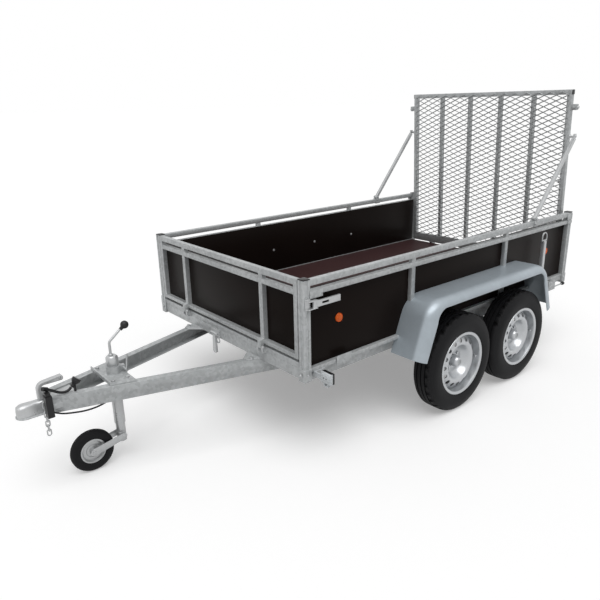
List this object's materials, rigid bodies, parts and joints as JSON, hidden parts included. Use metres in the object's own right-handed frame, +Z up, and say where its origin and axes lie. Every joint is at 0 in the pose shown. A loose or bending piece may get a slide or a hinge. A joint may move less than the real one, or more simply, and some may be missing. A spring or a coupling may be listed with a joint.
{
  "type": "twin-axle utility trailer",
  "caption": "Twin-axle box trailer with a tipping bed, hinged front gate, upright mesh loading ramp on stays, prop legs and a jockey wheel.",
  "frame": {"origin": "on the ground under the middle of the trailer's overall length and width", "axes": "+X forward to the coupling, +Y to the trailer's left, +Z up"},
  "size_m": [3.4702, 1.69, 1.7153],
  "materials": {
    "galvanised": "hot-dip galvanised",
    "zinc": "bright zinc plate",
    "board": "film-faced plywood, satin",
    "rubber": "matt",
    "wheel_silver": "silver lacquer",
    "black_plastic": "moulded",
    "reflector_amber": "prismatic",
    "lamp_white": "clear lens"
  },
  "bodies": {
    "chassis": {"drawbar_left": "galvanised", "drawbar_right": "galvanised", "side_rails": "galvanised", "front_cross_beam": "galvanised", "centre_cross_beam": "galvanised", "rear_cross_beam": "galvanised", "coupling_head": "zinc", "coupling_lever": "zinc", "jockey_bracket": "galvanised", "axle_front": "galvanised", "axle_rear": "galvanised", "tilt_catch": "zinc", "safety_chain": "zinc", "lead_fittings": "black_plastic", "lead": "black_plastic", "lead_cable": "black_plastic"},
    "bed": {"bed_frame": "galvanised", "floor_board": "board", "corner_posts": "galvanised", "post_caps": "black_plastic", "reflectors": "reflector_amber", "front_lamps": "lamp_white", "gate_latches": "zinc", "gate_hinges": "zinc", "ramp_hinges": "galvanised", "side_board_left": "board", "side_board_right": "board", "side_frame_left": "galvanised", "side_frame_right": "galvanised", "top_rails": "galvanised", "stay_clamps": "galvanised", "prop_clamps": "galvanised", "mudguard_left": "galvanised", "mudguard_right": "galvanised"},
    "front_gate": {"gate_frame": "galvanised", "gate_board": "board"},
    "ramp": {"ramp_frame": "galvanised", "ramp_studs": "zinc", "ramp_mesh": "galvanised"},
    "stay_left": {"stay_left": "zinc", "stay_hook_left": "zinc"},
    "stay_right": {"stay_right": "zinc", "stay_hook_right": "zinc"},
    "prop_left": {"prop_left": "zinc"},
    "prop_right": {"prop_right": "zinc"},
    "wheel_front_left": {"tyre_front_left": "rubber", "rim_front_left": "wheel_silver"},
    "wheel_front_right": {"tyre_front_right": "rubber", "rim_front_right": "wheel_silver"},
    "wheel_rear_left": {"tyre_rear_left": "rubber", "rim_rear_left": "wheel_silver"},
    "wheel_rear_right": {"tyre_rear_right": "rubber", "rim_rear_right": "wheel_silver"},
    "jockey_leg": {"jockey_outer_tube": "zinc", "jockey_crank": "zinc", "crank_knob": "black_plastic"},
    "jockey_inner": {"jockey_inner_tube": "zinc"},
    "jockey_foot": {"jockey_fork": "zinc"},
    "jockey_wheel": {"jockey_tyre": "rubber", "jockey_rim": "wheel_silver"}
  },
  "joints": [
    {"name": "bed_tilt", "type": "hinge", "parent": "chassis", "child": "bed", "pos_m": [-1.135, 0, 0.468], "axis": [0, 1, 0], "range_deg": [-12, 0]},
    {"name": "front_gate_hinge", "type": "hinge", "parent": "bed", "child": "front_gate", "pos_m": [0.677, 0, 0.541], "axis": [0, 1, 0], "range_deg": [0, 88]},
    {"name": "ramp_hinge", "type": "hinge", "parent": "bed", "child": "ramp", "pos_m": [-1.721, 0, 0.524], "axis": [0, -1, 0], "range_deg": [0, 118]},
    {"name": "stay_left_swing", "type": "hinge", "parent": "bed", "child": "stay_left", "pos_m": [-1.24, 0.671, 0.952], "axis": [0, 1, 0], "range_deg": [0, 125]},
    {"name": "stay_right_swing", "type": "hinge", "parent": "bed", "child": "stay_right", "pos_m": [-1.24, -0.671, 0.952], "axis": [0, 1, 0], "range_deg": [0, 125]},
    {"name": "prop_left_slide", "type": "slide", "parent": "bed", "child": "prop_left", "axis": [0, 0, -1], "range_m": [0, 0.25]},
    {"name": "prop_right_slide", "type": "slide", "parent": "bed", "child": "prop_right", "axis": [0, 0, -1], "range_m": [0, 0.25]},
    {"name": "wheel_front_left_spin", "type": "hinge", "parent": "chassis", "child": "wheel_front_left", "pos_m": [-0.359, 0.755, 0.283], "axis": [0, 1, 0], "continuous": true},
    {"name": "wheel_front_right_spin", "type": "hinge", "parent": "chassis", "child": "wheel_front_right", "pos_m": [-0.359, -0.755, 0.283], "axis": [0, 1, 0], "continuous": true},
    {"name": "wheel_rear_left_spin", "type": "hinge", "parent": "chassis", "child": "wheel_rear_left", "pos_m": [-0.943, 0.755, 0.283], "axis": [0, 1, 0], "continuous": true},
    {"name": "wheel_rear_right_spin", "type": "hinge", "parent": "chassis", "child": "wheel_rear_right", "pos_m": [-0.943, -0.755, 0.283], "axis": [0, 1, 0], "continuous": true},
    {"name": "jockey_clamp_slide", "type": "slide", "parent": "chassis", "child": "jockey_leg", "axis": [0, 0, 1], "range_m": [0, 0.08]},
    {"name": "jockey_winding", "type": "slide", "parent": "jockey_leg", "child": "jockey_inner", "axis": [0, 0, 1], "range_m": [0, 0.04]},
    {"name": "jockey_swivel", "type": "hinge", "parent": "jockey_inner", "child": "jockey_foot", "pos_m": [1.281, 0, 0.135], "axis": [0, 0, 1], "continuous": true},
    {"name": "jockey_wheel_spin", "type": "hinge", "parent": "jockey_foot", "child": "jockey_wheel", "pos_m": [1.432, 0, 0.105], "axis": [0, 1, 0], "continuous": true}
  ]
}
